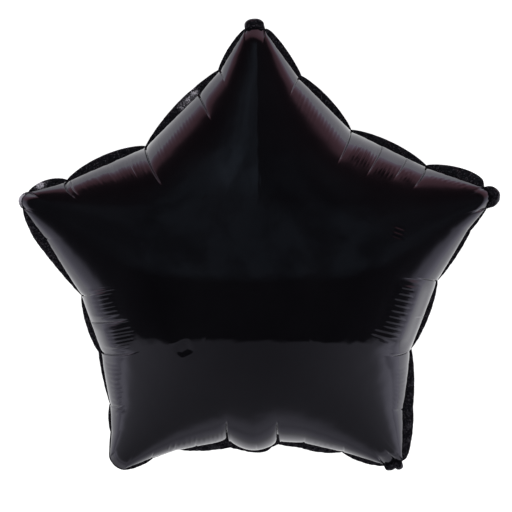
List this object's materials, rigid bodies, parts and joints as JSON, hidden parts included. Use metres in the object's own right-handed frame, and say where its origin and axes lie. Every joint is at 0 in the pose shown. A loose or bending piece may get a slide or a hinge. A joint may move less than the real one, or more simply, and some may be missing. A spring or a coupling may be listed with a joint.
{
  "type": "star foil balloon",
  "caption": "Filled star-shaped party balloon of glossy black film, with a puckered weld round its edge and its filling neck turned back behind it.",
  "frame": {"origin": "centre of the flat spot on the rear sheet that the balloon rests on, at floor level", "axes": "+Z square to the star and out of its front, +Y towards the star's top point, +X to the right as the front is seen with the top point up"},
  "size_m": [0.4216, 0.3986, 0.1597],
  "materials": {
    "black_film": "high-gloss opaque black balloon film, smooth where it is stretched and finely puckered at the weld"
  },
  "bodies": {
    "root": {"foil_bag": "black_film"}
  },
  "joints": []
}
